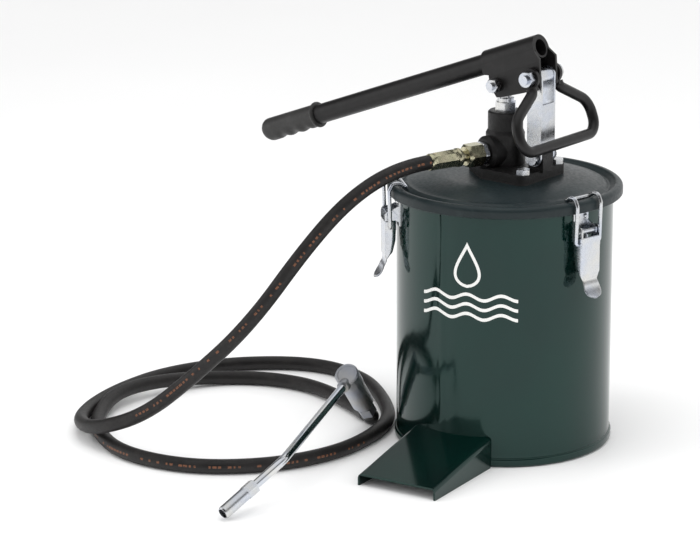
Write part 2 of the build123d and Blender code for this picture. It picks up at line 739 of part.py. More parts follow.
# ---- write every sub-part ----
os.makedirs("parts", exist_ok=True)
pieces = {
    "drum_body": drum_body, "drum_base_ring": drum_base_ring, "foot_plate": foot_plate, "lid": lid,
    "lid_gasket": lid_gasket, "flange_gasket": flange_gasket, "flange_bolts": flange_bolts,
    "flange_nuts": flange_nuts, "pump_body": pump_body, "gland_nut": gland_nut, "gland_packing": gland_packing,
    "pump_barrel": pump_barrel, "foot_valve": foot_valve, "suction_ball": suction_ball, "strainer": strainer,
    "plunger_rod": plunger_rod, "piston": piston, "piston_ring": piston_ring, "piston_seat": piston_seat,
    "piston_ball": piston_ball, "outlet_washer": outlet_washer, "outlet_adapter": outlet_adapter,
    "swivel_nut": swivel_nut, "hose_stem": hose_stem, "hose_ferrule": hose_ferrule, "hose": hose,
    "end_ferrule": end_ferrule, "end_elbow": end_elbow, "nozzle_body": nozzle_body, "nozzle_head": nozzle_head,
    "nozzle_seal": nozzle_seal, "nozzle_tube": nozzle_tube, "coupler_body": coupler_body,
    "coupler_jaws": coupler_jaws, "link": link, "lever_bracket": lever_bracket, "lever_tube": lever_tube,
    "lever_grip": lever_grip, "carry_bail": carry_bail, "latch_rivets": latch_rivets,
}
for name, make in pieces.items():
    keep(name, make())

turn_end = Rot(180, 0, 0)    # nut on the -Y side
keep("fulcrum_bolt", along_y(turn_end * cross_bolt(fulcrum_d, 15, 6, eye_out + 0.3, 11), fulcrum))
keep("fulcrum_nut", along_y(turn_end * cross_nut(fulcrum_d, 15, 7.5, eye_out + 0.3), fulcrum))
keep("fulcrum_spacer", along_y(ring(8, fulcrum_d / 2 + fit, link_sheet - link_half + 0.1, link_half - link_sheet - 0.1), fulcrum))
keep("lower_pin", along_y(cross_bolt(lower_pin_d, 13, 5, link_half + 0.2, 7), lower_pin))
keep("lower_pin_nut", along_y(cross_nut(lower_pin_d, 13, 6.5, link_half + 0.2), lower_pin))
plunger_pin_place = Vector(plunger_x, 0, plunger_pin_z)
keep("plunger_pin", along_y(turn_end * cross_bolt(plunger_pin_d, 13, 5.3, cheek_out + 3.6, 10), plunger_pin_place))
keep("plunger_pin_nut", along_y(turn_end * cross_nut(plunger_pin_d, 13, 6.5, cheek_out + 3.6), plunger_pin_place))
for i, angle in enumerate(latch_angles, 1):
    turn = Rot(0, 0, angle)
    keep(f"latch_base_{i}", turn * latch_base())
    keep(f"latch_pin_{i}", turn * latch_pin())
    keep(f"latch_lever_{i}", turn * latch_lever())
    keep(f"latch_loop_{i}", turn * latch_loop())
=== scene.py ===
import json
import math
import bmesh
import bpy
import numpy as np
from mathutils import Matrix, Vector


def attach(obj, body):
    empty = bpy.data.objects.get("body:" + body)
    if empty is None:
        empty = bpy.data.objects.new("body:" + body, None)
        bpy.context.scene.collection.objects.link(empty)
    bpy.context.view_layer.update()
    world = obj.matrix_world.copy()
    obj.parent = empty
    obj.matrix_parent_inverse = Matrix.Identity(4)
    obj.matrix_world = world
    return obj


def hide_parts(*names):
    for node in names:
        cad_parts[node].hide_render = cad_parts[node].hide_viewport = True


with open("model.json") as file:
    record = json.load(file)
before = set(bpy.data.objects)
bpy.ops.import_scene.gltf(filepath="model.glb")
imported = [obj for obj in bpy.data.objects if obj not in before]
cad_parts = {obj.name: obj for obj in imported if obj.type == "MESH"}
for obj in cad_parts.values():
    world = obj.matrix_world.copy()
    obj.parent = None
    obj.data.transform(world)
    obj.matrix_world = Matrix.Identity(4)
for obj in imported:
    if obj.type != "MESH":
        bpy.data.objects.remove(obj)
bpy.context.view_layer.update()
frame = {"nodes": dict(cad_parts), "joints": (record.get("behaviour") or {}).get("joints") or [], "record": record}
nodes = frame["nodes"]
joints = {j["name"]: j for j in frame["joints"]}
mm = 0.001
print("frame loaded:", len(nodes), "nodes")

# place and look are in metres, the roll in degrees
view = {"place": (1.5984, -2.3044, 0.9658), "look": (-0.5920, 0.7578, -0.2745), "roll": -0.3, "lens": 144.9,
        "sensor": 36}


def addCamera():
    look = np.array(view["look"])
    look /= np.linalg.norm(look)
    side = np.cross(look, [0, 0, 1])
    side /= np.linalg.norm(side)
    up = np.cross(side, look)
    roll = math.radians(view["roll"])
    right = math.cos(roll) * side + math.sin(roll) * up
    up = np.cross(right, look)
    data = bpy.data.cameras.new("camera")
    data.sensor_width = view["sensor"]
    data.lens = view["lens"]
    camera = bpy.data.objects.new("camera", data)
    turn = Matrix(np.column_stack([right, up, -look]).tolist()).to_4x4()
    camera.matrix_world = Matrix.Translation(view["place"]) @ turn
    bpy.context.scene.collection.objects.link(camera)
    bpy.context.scene.camera = camera


studio = {
    "world": 1.0,
    "room": 0.055,
    "middle": (-0.05, -0.1, 0.2),
    # what shiny surfaces see: the way each panel lies, where it fades in, and its glow
    "panels": {
        "overhead": {"way": (0, 0, 1), "fade": (0.55, 0.95), "glow": 0.9},
        "left": {"way": (-0.80, -0.60, 0), "fade": (0.72, 0.93), "glow": 1.3},
        "right": {"way": (0.97, 0.24, 0), "fade": (0.80, 0.97), "glow": 1.1},
        "back": {"way": (0, 1, 0), "fade": (0.35, 0.9), "glow": 1.0},
    },
    "lamps": {
        "leftSoftbox": {"place": (-1.5, -1.6, 1.3), "size": (1.1, 1.6), "watts": 12},
        "rightSoftbox": {"place": (1.9, -0.2, 1.2), "size": (0.8, 1.6), "watts": 8},
        "topSoftbox": {"place": (0.1, -0.5, 2.2), "size": (1.6, 1.2), "watts": 14},
    },
}


def addLamp(name, place, size, watts):
    data = bpy.data.lights.new(name, "AREA")
    data.shape = "RECTANGLE"
    data.size, data.size_y = size
    data.energy = watts
    lamp = bpy.data.objects.new(name, data)
    lamp.location = place
    lamp.visible_glossy = False
    aim = Vector(place) - Vector(studio["middle"])
    lamp.rotation_euler = aim.to_track_quat("Z", "Y").to_euler()
    bpy.context.scene.collection.objects.link(lamp)


# White to the eye and for soft light. Shiny surfaces see a dark room with four bright panels, each a smooth
# step of the ray's reach along the panel's way.
def addSky(tree):
    def maths(operation, a, b):
        node = tree.nodes.new("ShaderNodeMath")
        node.operation = operation
        for socket, value in zip(node.inputs, (a, b)):
            if isinstance(value, (int, float)):
                socket.default_value = value
            else:
                tree.links.new(value, socket)
        return node.outputs[0]

    def panelGlow(way, fade, glow):
        reach = tree.nodes.new("ShaderNodeVectorMath")
        reach.operation = "DOT_PRODUCT"
        tree.links.new(ray, reach.inputs[0])
        reach.inputs[1].default_value = way
        node = tree.nodes.new("ShaderNodeMapRange")
        node.interpolation_type = "SMOOTHSTEP"
        for socket, number in zip(("From Min", "From Max", "To Min", "To Max"), (*fade, 0, glow)):
            node.inputs[socket].default_value = number
        tree.links.new(reach.outputs["Value"], node.inputs["Value"])
        return node.outputs["Result"]

    ray = tree.nodes.new("ShaderNodeTexCoord").outputs["Generated"]
    seen = studio["room"]
    for panel in studio["panels"].values():
        seen = maths("ADD", panelGlow(panel["way"], panel["fade"], panel["glow"]), seen)
    path = tree.nodes.new("ShaderNodeLightPath")
    soft = maths("MULTIPLY", path.outputs["Is Diffuse Ray"], studio["world"])
    shiny = maths("MULTIPLY", path.outputs["Is Glossy Ray"], seen)
    total = maths("ADD", maths("ADD", soft, shiny), path.outputs["Is Camera Ray"])
    tree.links.new(total, tree.nodes["Background"].inputs["Strength"])
    tree.nodes["Background"].inputs["Color"].default_value = (1.0, 1.0, 1.0, 1)


def addStudio():
    world = bpy.data.worlds.new("studio")
    bpy.context.scene.world = world
    world.use_nodes = True
    addSky(world.node_tree)
    for name, lamp in studio["lamps"].items():
        addLamp(name, lamp["place"], lamp["size"], lamp["watts"])
    bpy.context.scene.view_settings.view_transform = "Standard"


addCamera()
addStudio()
print("camera and studio placed")


def meshPiece(name, points, faces):
    mesh = bpy.data.meshes.new(name)
    mesh.from_pydata(points.reshape(-1, 3).tolist(), [], faces)
    piece = bpy.data.objects.new(name, mesh)
    bpy.context.scene.collection.objects.link(piece)
    return piece


def smoothPiece(piece, angle=40):
    mesh = piece.data
    mesh.shade_smooth()
    mesh.set_sharp_from_angle(angle=math.radians(angle))


# A sheet of quads over a grid of points, rows by columns. Rows or columns may close on themselves.
def gridPiece(name, points, closeRows=False, closeColumns=False, capStart=False, capEnd=False):
    rows, columns = points.shape[:2]
    index = np.arange(rows * columns).reshape(rows, columns)
    if closeRows:
        index = np.vstack([index, index[:1]])
    if closeColumns:
        index = np.hstack([index, index[:, :1]])
    quads = np.stack([index[:-1, :-1], index[:-1, 1:], index[1:, 1:], index[1:, :-1]], axis=-1)
    faces = quads.reshape(-1, 4).tolist()
    if capStart:
        faces.append(index[0, :columns].tolist())
    if capEnd:
        faces.append(index[-1, :columns][::-1].tolist())
    piece = meshPiece(name, points, faces)
    piece.data.validate()
    piece.data.update()
    smoothPiece(piece)
    return piece


# Merges doubles and turns every face outwards.
def outward(piece):
    work = bmesh.new()
    work.from_mesh(piece.data)
    bmesh.ops.remove_doubles(work, verts=work.verts, dist=1e-6)
    bmesh.ops.recalc_face_normals(work, faces=work.faces)
    work.to_mesh(piece.data)
    work.free()
    smoothPiece(piece)
    return piece


# Turns the whole mesh over when its signed volume, the sum of a . (b x c) over its triangles, is negative.
def flipIfInsideOut(piece):
    mesh = piece.data
    mesh.calc_loop_triangles()
    triangles = np.empty(len(mesh.loop_triangles) * 3, int)
    mesh.loop_triangles.foreach_get("vertices", triangles)
    where = np.empty(len(mesh.vertices) * 3)
    mesh.vertices.foreach_get("co", where)
    a, b, c = where.reshape(-1, 3)[triangles.reshape(-1, 3)].transpose(1, 0, 2)
    if np.einsum("ij,ij->i", a, np.cross(b, c)).sum() < 0:
        mesh.flip_normals()


# Quads of the wall between two outlines of n points, the second one's points numbered after the first's.
def wallQuads(n):
    here = np.arange(n)
    after = np.roll(here, -1)
    return np.stack([here, n + here, n + after, after], axis=1)


# Points of a round stretch of a profile, angles in degrees.
def arc(centre, radius, start, stop, count):
    angle = np.radians(np.linspace(start, stop, count))
    return np.stack([centre[0] + radius * np.cos(angle), centre[1] + radius * np.sin(angle)], axis=1)


# A closed profile of (radius, height) carried round Z. The bulge adds to the radius by angle and height.
def turned(name, profile, steps=160, bulge=None):
    profile = np.asarray(profile, float)
    angle = np.linspace(0, 2 * np.pi, steps, endpoint=False)
    radius = np.repeat(profile[None, :, 0], steps, axis=0)
    height = np.repeat(profile[None, :, 1], steps, axis=0)
    if bulge is not None:
        radius = radius + bulge(angle[:, None], radius, height)
    points = np.stack([radius * np.cos(angle)[:, None], radius * np.sin(angle)[:, None], height], axis=-1)
    return outward(gridPiece(name, points * mm, closeRows=True, closeColumns=True))


def settle(piece, body, slot, *replaced):
    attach(piece, body)
    if replaced:
        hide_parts(*replaced)
    return piece


# A node material under construction, with short calls for the few nodes used here.
class Finish:
    def __init__(self, name, colour, metallic=0.0, rough=0.5, space="Object"):
        self.material = bpy.data.materials.new(name)
        self.material.use_nodes = True
        self.tree = self.material.node_tree
        self.shader = self.tree.nodes["Principled BSDF"]
        self.put("Base Color", (*colour, 1))
        self.put("Metallic", metallic)
        self.put("Roughness", rough)
        self.place = self.tree.nodes.new("ShaderNodeTexCoord").outputs[space]
        self.lastBump = None

    def put(self, socket, value):
        self.shader.inputs[socket].default_value = value

    def link(self, a, b):
        self.tree.links.new(a, b)

    def stretched(self, scale):
        node = self.tree.nodes.new("ShaderNodeMapping")
        node.inputs["Scale"].default_value = scale
        self.link(self.place, node.inputs["Vector"])
        return node.outputs["Vector"]

    def noise(self, scale, detail=4.0, rough=0.55, place=None, distort=0.0):
        node = self.tree.nodes.new("ShaderNodeTexNoise")
        node.inputs["Scale"].default_value = scale
        node.inputs["Detail"].default_value = detail
        node.inputs["Roughness"].default_value = rough
        node.inputs["Distortion"].default_value = distort
        self.link(place or self.place, node.inputs["Vector"])
        return node.outputs["Fac"]

    def cells(self, scale):
        node = self.tree.nodes.new("ShaderNodeTexVoronoi")
        node.inputs["Scale"].default_value = scale
        self.link(self.place, node.inputs["Vector"])
        return node.outputs["Distance"]

    def ramp(self, value, low, high, a, b):
        node = self.tree.nodes.new("ShaderNodeMapRange")
        for socket, number in zip(("From Min", "From Max", "To Min", "To Max"), (low, high, a, b)):
            node.inputs[socket].default_value = number
        self.link(value, node.inputs["Value"])
        return node.outputs["Result"]

    def maths(self, operation, a, b=0):
        node = self.tree.nodes.new("ShaderNodeMath")
        node.operation = operation
        for socket, value in zip(node.inputs, (a, b)):
            if isinstance(value, (int, float)):
                socket.default_value = value
            else:
                self.link(value, socket)
        return node.outputs[0]

    # A colour that goes from first to second by amount. Either may be a colour or a socket.
    def blend(self, amount, first, second):
        node = self.tree.nodes.new("ShaderNodeMix")
        node.data_type = "RGBA"
        self.link(amount, node.inputs[0])
        for socket, value in ((node.inputs[6], first), (node.inputs[7], second)):
            if isinstance(value, tuple):
                socket.default_value = (*value, 1)
            else:
                self.link(value, socket)
        return node.outputs[2]

    def paint(self, socket, value):
        self.link(value, self.shader.inputs[socket])

    def bump(self, height, depth, strength=1.0):
        node = self.tree.nodes.new("ShaderNodeBump")
        node.inputs["Strength"].default_value = strength
        node.inputs["Distance"].default_value = depth
        self.link(height, node.inputs["Height"])
        if self.lastBump is not None:
            self.link(self.lastBump, node.inputs["Normal"])
        self.lastBump = node.outputs["Normal"]
        self.link(self.lastBump, self.shader.inputs["Normal"])
        return self


# Deep green enamel: slow grey-green and green patches painted into the colour as soft reflections, fine orange
# peel, faint dust in the roughness.
def glossEnamel():
    f = Finish("glossEnamel", (0.002, 0.012, 0.010), rough=0.12)
    f.put("Specular IOR Level", 0.55)
    f.put("Specular Tint", (0.66, 0.98, 0.92, 1))
    # painted reflection: slow noise patches between a grey-green and a green in the base colour stand in for soft
    # reflections on the gloss
    paintedReflection = f.ramp(f.noise(9, 3), 0.3, 0.7, 0, 1)
    f.paint("Base Color", f.blend(paintedReflection, (0.0022, 0.0065, 0.0062), (0.0012, 0.0125, 0.0095)))
    f.paint("Roughness", f.ramp(f.noise(420, 4), 0.3, 0.8, 0.07, 0.15))
    return f.bump(f.noise(260, 2), 0.00004, 0.35).material


# Slate green lid paint: fine leather-like grain and small scuffs.
def satinEnamel():
    f = Finish("satinEnamel", (0.011, 0.020, 0.022), rough=0.42)
    f.put("Specular IOR Level", 0.35)
    scuff = f.ramp(f.noise(60, 8, 0.7, f.stretched((1, 4, 1))), 0.55, 0.75, 0, 1)
    tone = f.blend(f.ramp(f.noise(14, 3), 0.3, 0.7, 0, 1), (0.008, 0.0145, 0.0165), (0.012, 0.021, 0.023))
    f.paint("Base Color", f.blend(scuff, tone, (0.020, 0.031, 0.033)))
    f.paint("Roughness", f.ramp(f.noise(300, 5), 0.3, 0.7, 0.34, 0.5))
    return f.bump(f.noise(900, 3), 0.00008, 0.5).material


# Black powder coat: fine peel, lighter where it has been rubbed.
def satinBlack():
    f = Finish("satinBlack", (0.007, 0.0065, 0.007), rough=0.4)
    f.put("Specular IOR Level", 0.35)
    rub = f.ramp(f.noise(40, 6, 0.65), 0.55, 0.8, 0, 1)
    f.paint("Base Color", f.blend(rub, (0.0065, 0.006, 0.0062), (0.012, 0.0112, 0.0115)))
    f.paint("Roughness", f.ramp(f.noise(180, 4), 0.3, 0.7, 0.33, 0.46))
    return f.bump(f.noise(700, 3), 0.00007, 0.5).material


# Painted cast iron: sand-cast pits and lumps under black paint.
def castBlack():
    f = Finish("castBlack", (0.006, 0.0055, 0.006), rough=0.45)
    f.put("Specular IOR Level", 0.35)
    lumps = f.noise(130, 6, 0.6)
    raised = f.ramp(lumps, 0.4, 0.7, 0, 1)
    f.paint("Base Color", f.blend(raised, (0.005, 0.0047, 0.0048), (0.0105, 0.01, 0.0102)))
    f.paint("Roughness", f.ramp(f.noise(300, 4), 0.3, 0.7, 0.32, 0.55))
    f.bump(lumps, 0.0009, 0.6)
    return f.bump(f.cells(520), 0.00025, 0.4).material


# Bright zinc plate: clouded roughness, drawing marks along the sheet, faint blue and straw tints.
def brightZinc(name="brightZinc", colour=(0.66, 0.67, 0.69), rough=(0.2, 0.34), brushed=(1, 1, 14)):
    f = Finish(name, colour, metallic=1.0, rough=0.28)
    tint = f.ramp(f.noise(45, 4), 0.35, 0.7, 0, 1)
    cool = tuple(c * k for c, k in zip(colour, (0.86, 0.9, 0.98)))
    warm = tuple(c * k for c, k in zip(colour, (1.0, 0.98, 0.92)))
    f.paint("Base Color", f.blend(tint, cool, warm))
    f.paint("Roughness", f.ramp(f.noise(160, 6, 0.6), 0.3, 0.7, *rough))
    marks = f.noise(600, 4, 0.6, f.stretched(brushed))
    return f.bump(marks, 0.00003, 0.35).material


# Yellow passivated zinc: straw and green-gold clouds on bright metal.
def yellowZinc():
    f = Finish("yellowZinc", (0.58, 0.52, 0.36), metallic=1.0, rough=0.25)
    cloud = f.ramp(f.noise(55, 2, 0.5, distort=0.4), 0.3, 0.7, 0, 1)
    patch = f.ramp(f.noise(90, 3), 0.55, 0.8, 0, 1)
    tone = f.blend(cloud, (0.60, 0.56, 0.40), (0.50, 0.49, 0.33))
    f.paint("Base Color", f.blend(patch, tone, (0.62, 0.47, 0.34)))
    f.paint("Roughness", f.ramp(f.noise(240, 5), 0.3, 0.7, 0.16, 0.34))
    return f.bump(f.noise(500, 2), 0.00002, 0.2).material


# Turned steel: fine tool rings along the axis and cloudy roughness.
def machinedSteel():
    f = Finish("machinedSteel", (0.5, 0.5, 0.51), metallic=1.0, rough=0.25)
    f.paint("Roughness", f.ramp(f.noise(200, 4), 0.3, 0.7, 0.18, 0.34))
    return f.bump(f.noise(900, 2, 0.5, f.stretched((0.1, 0.1, 6))), 0.00003, 0.4).material


def bronzeMetal():
    f = Finish("bronzeMetal", (0.5, 0.34, 0.16), metallic=1.0, rough=0.3)
    f.paint("Roughness", f.ramp(f.noise(200, 4), 0.3, 0.7, 0.2, 0.4))
    return f.bump(f.noise(700, 3), 0.00003, 0.3).material


# Moulded rubber: fine grain, dusty lighter patches.
def blackRubber(name="blackRubber", colour=(0.012, 0.0115, 0.011), rough=0.52):
    f = Finish(name, colour, rough=rough)
    dust = f.ramp(f.noise(50, 6, 0.65), 0.5, 0.8, 0, 1)
    f.paint("Base Color", f.blend(dust, colour, tuple(c * 1.7 for c in colour)))
    f.paint("Roughness", f.ramp(f.noise(300, 4), 0.3, 0.7, rough - 0.08, rough + 0.1))
    return f.bump(f.noise(1300, 3), 0.0001, 0.5).material


def blackPlastic():
    f = Finish("blackPlastic", (0.008, 0.008, 0.008), rough=0.35)
    f.paint("Roughness", f.ramp(f.noise(250, 4), 0.3, 0.7, 0.28, 0.45))
    return f.bump(f.noise(900, 3), 0.00006, 0.4).material


# dashes on the hose: cell length in metres, share of empty cells, shortest and longest half length as shares
# of a cell, and where the row lies and its half width in turns; girth is the way round the hose in metres
dashes = {"cell": 0.0048, "empty": 0.35, "short": 0.16, "long": 0.42, "line": 0.47, "half": 0.024,
          "girth": 0.047, "opacity": 0.8}


# Wrapped hose cover: a sine of the slanted way along and round it makes the cloth's fine ribs, and noise the
# weave. The map runs along the hose in metres and once round it. One row of brown ink dashes runs along it:
# chance fills each cell and sets the dash's length, and noise wears it away.
def clothRubber():
    f = Finish("clothRubber", (0.010, 0.009, 0.0085), rough=0.5, space="UV")
    f.put("Specular IOR Level", 0.4)
    split = f.tree.nodes.new("ShaderNodeSeparateXYZ")
    f.link(f.place, split.inputs[0])
    along, around = split.outputs[0], split.outputs[1]
    join = f.tree.nodes.new("ShaderNodeCombineXYZ")
    f.link(along, join.inputs[0])
    f.link(f.maths("MULTIPLY", around, dashes["girth"]), join.inputs[1])
    flat = join.outputs[0]
    worn = f.ramp(f.noise(70, 6, 0.65, flat), 0.45, 0.8, 0, 1)
    base = f.blend(worn, (0.0085, 0.0075, 0.0075), (0.019, 0.0165, 0.0155))
    cell = f.maths("DIVIDE", along, dashes["cell"])
    chance = f.tree.nodes.new("ShaderNodeTexWhiteNoise")
    chance.noise_dimensions = "1D"
    f.link(f.maths("FLOOR", cell), chance.inputs["W"])
    filled = f.maths("GREATER_THAN", chance.outputs["Value"], dashes["empty"])
    reach = f.ramp(chance.outputs["Value"], dashes["empty"], 1, dashes["short"], dashes["long"])
    fromMiddle = f.maths("ABSOLUTE", f.maths("SUBTRACT", f.maths("FRACT", cell), 0.5))
    inside = f.maths("LESS_THAN", fromMiddle, reach)
    fromLine = f.maths("ABSOLUTE", f.maths("SUBTRACT", around, dashes["line"]))
    band = f.maths("LESS_THAN", fromLine, dashes["half"])
    ink = f.maths("MULTIPLY", f.maths("MULTIPLY", filled, inside), band)
    kept = f.ramp(f.noise(900, 3, 0.6, flat), 0.36, 0.5, 0, 1)
    stretch = f.maths("LESS_THAN", f.noise(3.1, 1, 0.5, flat), 0.56)
    shown = f.maths("MULTIPLY", stretch, dashes["opacity"])
    amount = f.maths("MULTIPLY", f.maths("MULTIPLY", ink, kept), shown)
    f.paint("Base Color", f.blend(amount, base, (0.22, 0.085, 0.040)))
    f.paint("Roughness", f.ramp(f.noise(400, 4, 0.6, flat), 0.3, 0.7, 0.42, 0.6))
    slant = f.maths("ADD", f.maths("MULTIPLY", along, 5200), f.maths("MULTIPLY", around, 44))
    f.bump(f.maths("SINE", slant), 0.00007, 0.6)
    return f.bump(f.noise(500, 5, 0.6, flat), 0.0003, 0.45).material


def whiteInk():
    f = Finish("whiteInk", (0.8, 0.8, 0.78), rough=0.3)
    f.paint("Roughness", f.ramp(f.noise(300, 4), 0.3, 0.7, 0.22, 0.4))
    return f.bump(f.noise(900, 3), 0.00003, 0.3).material


finishes = {
    "drum_paint": glossEnamel(),
    "lid_paint": satinEnamel(),
    "black_paint": satinBlack(),
    "casting_paint": castBlack(),
    "bright_zinc": brightZinc(),
    "yellow_zinc": yellowZinc(),
    "steel": machinedSteel(),
    "bronze": bronzeMetal(),
    "hose_rubber": clothRubber(),
    "grip_rubber": blackRubber("gripRubber", (0.020, 0.0195, 0.019), 0.48),
    "seal_rubber": blackRubber(),
    "black_plastic": blackPlastic(),
}
castZinc = brightZinc("castZinc", (0.50, 0.50, 0.51), (0.42, 0.58), (1, 1, 1))
drawnZinc = brightZinc("drawnZinc", (0.70, 0.71, 0.73), (0.10, 0.2), (1, 1, 1))
special = {"nozzle_body": castZinc, "nozzle_head": castZinc, "nozzle_tube": drawnZinc}
for part in frame["record"]["subparts"]:
    holder = nodes[part["node"]]
    if not holder.material_slots:
        holder.data.materials.append(None)
    for place in holder.material_slots:
        place.material = special.get(part["node"], finishes[part["material_slot"]])
print("finishes made:", len(finishes))


def give(piece, slot, body, *replaced):
    piece.data.materials.append(finishes[slot])
    return settle(piece, body, slot, *replaced)


# diameter in metres, route in millimetres: outlet, down the side, then one and a half turns on the floor
hoseFacts = {
    "diameter": 0.015,
    "ringPoints": 28,
    "route": [
        (-28.5, -93.2, 304.4), (-38.7, -126.7, 304.4), (-60, -176, 282), (-84, -216, 238), (-127, -258, 156),
        (-190, -274, 93), (-240, -292, 48), (-298, -301, 24), (-351, -274, 13), (-387, -219, 7.7),
        (-402, -156, 7.7), (-401, -80, 7.7), (-364, -4, 7.7), (-290, 50, 7.7), (-214, 40, 7.7),
        (-155, -3, 7.7), (-105.5, -54.5, 7.7), (-86, -116, 7.7), (-86, -180, 7.7), (-116, -247, 7.7),
        (-177, -298, 7.7), (-259, -308, 7.7), (-328, -271, 7.7), (-365, -226, 8.5), (-382, -180, 15.5),
        (-375, -125, 15), (-350, -60, 7.7), (-290, -20, 7.7), (-214, -20, 8.8), (-148.5, -52, 8.8),
    ],
}


# The line of a NURBS spline of order 3 with these control points, read back as an array.
def smoothRoute(points):
    data = bpy.data.curves.new("hoseRoute", "CURVE")
    data.dimensions = "3D"
    data.resolution_u = 24
    spline = data.splines.new("NURBS")
    spline.points.add(len(points) - 1)
    weighted = np.column_stack([np.array(points) * mm, np.ones(len(points))])
    spline.points.foreach_set("co", weighted.ravel())
    spline.order_u = 3
    spline.use_endpoint_u = True
    holder = bpy.data.objects.new("hoseRoute", data)
    bpy.context.scene.collection.objects.link(holder)
    mesh = bpy.data.meshes.new_from_object(holder)
    line = np.empty(len(mesh.vertices) * 3)
    mesh.vertices.foreach_get("co", line)
    bpy.data.objects.remove(holder)
    bpy.data.curves.remove(data)
    bpy.data.meshes.remove(mesh)
    return line.reshape(-1, 3)


# Gives every face corner its distance along the hose and its turn round it; the quads that close the ring end
# at a whole turn, so the map has no smear there.
def mapHose(mesh, run, count):
    corner = np.empty(len(mesh.loops), int)
    mesh.loops.foreach_get("vertex_index", corner)
    row, column = corner // count, corner % count
    around = column / count
    starts = np.empty(len(mesh.polygons), int)
    totals = np.empty(len(mesh.polygons), int)
    mesh.polygons.foreach_get("loop_start", starts)
    mesh.polygons.foreach_get("loop_total", totals)
    owner = np.repeat(np.arange(len(starts)), totals)
    wraps = (np.maximum.reduceat(around, starts) > 0.9) & (totals == 4)
    around = np.where(wraps[owner] & (around < 0.1), 1.0, around)
    layer = mesh.uv_layers.new(name="hoseMap")
    layer.data.foreach_set("uv", np.column_stack([run[row], around]).ravel())


# A round tube along the route: each ring lies square to the line, its first point level with it.
def makeHose():
    line = smoothRoute(hoseFacts["route"])
    count = hoseFacts["ringPoints"]
    ahead = np.gradient(line, axis=0)
    ahead /= np.linalg.norm(ahead, axis=1)[:, None]
    level = np.cross(ahead, [0, 0, 1])
    level /= np.linalg.norm(level, axis=1)[:, None]
    up = np.cross(level, ahead)
    angle = np.linspace(0, 2 * np.pi, count + 1)[:-1]
    radius = hoseFacts["diameter"] / 2
    ring = np.cos(angle)[None, :, None] * level[:, None, :] + np.sin(angle)[None, :, None] * up[:, None, :]
    points = line[:, None, :] + radius * ring
    step = np.linalg.norm(np.diff(line, axis=0), axis=1)
    run = np.concatenate([[0], np.cumsum(step)])
    piece = gridPiece("hoseTube", points, closeColumns=True, capStart=True, capEnd=True)
    mapHose(piece.data, run, count)
    flipIfInsideOut(piece)
    give(piece, "hose_rubber", "drum_and_head", "hose")
    print("hose", round(float(run[-1]), 3), "m long")


makeHose()

# millimetres, the seam's angle in degrees
drumShape = {
    "radius": 111.0, "wall": 1.2, "floor": 9.0, "top": 269.4, "wallRows": 10,
    "beadRadius": 113.0, "beadHeight": 10.0, "beadFoot": 3.2, "beadShoulder": 2.2,
    "curl": 117.3, "curlRound": 2.6, "curlNeck": 5.6, "hem": 4.0,
    "seamAngle": -89.5, "seamWidth": 7.0, "seamRise": 0.45, "seamEdge": 4.0,
    "seamStart": 14.0, "seamStop": 8.0,
}


# Raises the outer wall in a narrow flat rib where the sheet's edges are folded together: a logistic step of
# the distance round the wall from the seam's middle.
def lockSeam(angle, radius, height):
    d = drumShape
    across = (np.degrees(angle) - d["seamAngle"] + 180) % 360 - 180
    across = np.radians(across) * d["radius"]
    rib = 1 / (1 + np.exp((np.abs(across) - d["seamWidth"] / 2) * d["seamEdge"]))
    onWall = np.abs(radius - d["radius"]) < 0.01
    onSeam = (height > d["seamStart"]) & (height < d["top"] - d["seamStop"])
    return rib * (onWall & onSeam) * d["seamRise"]


# Profile: floor, rounded foot bead rolled out of the wall, plain wall, rolled top curl, inner wall.
def makeDrum():
    d = drumShape
    r, w, hem = d["radius"], d["wall"], d["radius"] - d["hem"]
    foot, shoulder, curlRound = d["beadFoot"], d["beadShoulder"], d["curlRound"]
    wallHeights = np.linspace(15, d["top"] - 9, d["wallRows"])
    bead = arc((d["beadRadius"] - foot, 3.4), foot, -90, 0, 8)
    beadTop = arc((d["beadRadius"] - shoulder, d["beadHeight"] - 2.4), shoulder, 0, 80, 7)
    curl = arc((d["curl"] - curlRound, d["top"] - curlRound), curlRound, -90, 90, 12)
    profile = [(0, d["floor"]), (hem, d["floor"]), (hem, 0.6), (r - 3.4, 0.2), *bead, *beadTop]
    profile += [(r + 0.15, d["beadHeight"] + 1.2), (r, d["beadHeight"] + 2.2)]
    profile += [(r, z) for z in wallHeights]
    profile += [(r, d["top"] - d["curlNeck"]), (r + 0.6, d["top"] - 5.2), *curl]
    profile += [(r - w + 1, d["top"]), (r - w, d["top"] - 1)]
    profile += [(r - w, d["floor"] + w + 4), (r - w - 3, d["floor"] + w), (0, d["floor"] + w)]
    piece = turned("drumShell", profile, 240, lockSeam)
    give(piece, "drum_paint", "drum_and_head", "drum_body", "drum_base_ring")


# millimetres; each round is (radius, height) of its middle and its radius
lidShape = {
    "out": 120.5, "skirt": 261.5, "sheet": 1.5,
    "rimRound": ((115.3, 267.8), 5.2), "rimInside": ((114.4, 270.4), 2.6), "step": (110.9, 270.8),
    "groove": ((106.6, 270.6), 2.1), "grooveEdge": ((99.5, 268.8), 3.4),
    "domeOut": 95, "domeIn": 24, "domeFlat": 63, "domeFall": 34, "domeFoot": 272.4, "domeRise": 7.6,
    "hole": 19, "crown": 280.0,
}


